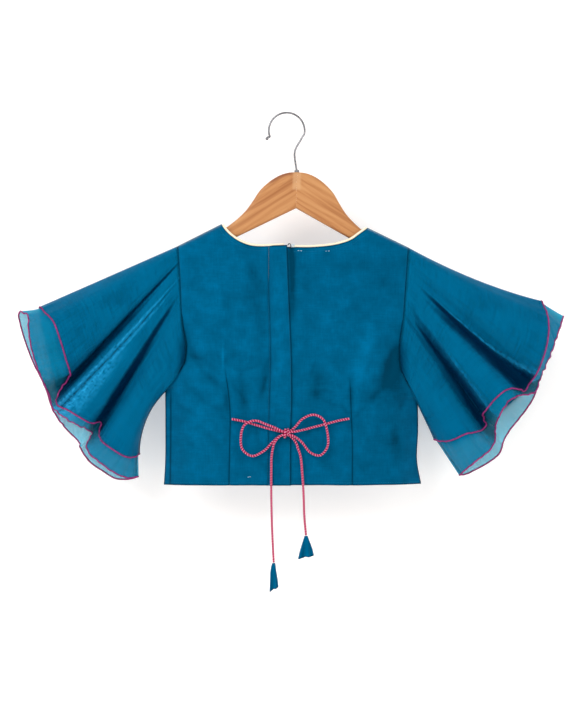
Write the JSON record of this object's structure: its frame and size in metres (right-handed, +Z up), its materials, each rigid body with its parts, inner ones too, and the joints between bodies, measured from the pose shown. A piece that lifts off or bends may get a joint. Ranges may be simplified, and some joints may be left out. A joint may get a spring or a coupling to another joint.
{
  "type": "child's choli blouse on a wooden clothes hanger",
  "caption": "Cropped back-opening blouse with double flutter sleeves, neck piping, darts and a bow of tasselled ties, hung on a small wooden hanger.",
  "frame": {"origin": "inside top of the hanger's hook, where a rail or wall hook carries it", "axes": "+Z up, the blouse's back with its placket and bow faces -Y, and +X is to the right of someone looking at that back"},
  "size_m": [0.6264, 0.0526, 0.5482],
  "materials": {
    "hanger_wood": "pale waxed hardwood",
    "hook_wire": "bright zinc-plated wire",
    "body_cloth": "teal silk-like plain weave with a soft sheen",
    "sleeve_organza": "sheer teal organza with a rolled hem",
    "piping": "cream and gold corded piping",
    "tie_cord": "pink twisted cord with pale flecks"
  },
  "bodies": {
    "root": {"hanger_arm_left": "hanger_wood", "hanger_arm_right": "hanger_wood", "hanger_hook": "hook_wire", "front": "body_cloth", "back_left": "body_cloth", "back_right": "body_cloth", "placket": "body_cloth", "sleeve_left_outer": "sleeve_organza", "sleeve_left_inner": "sleeve_organza", "sleeve_right_outer": "sleeve_organza", "sleeve_right_inner": "sleeve_organza", "neck_piping": "piping", "tie_left": "tie_cord", "tie_right": "tie_cord", "tassel_left": "body_cloth", "tassel_right": "body_cloth"}
  },
  "joints": []
}
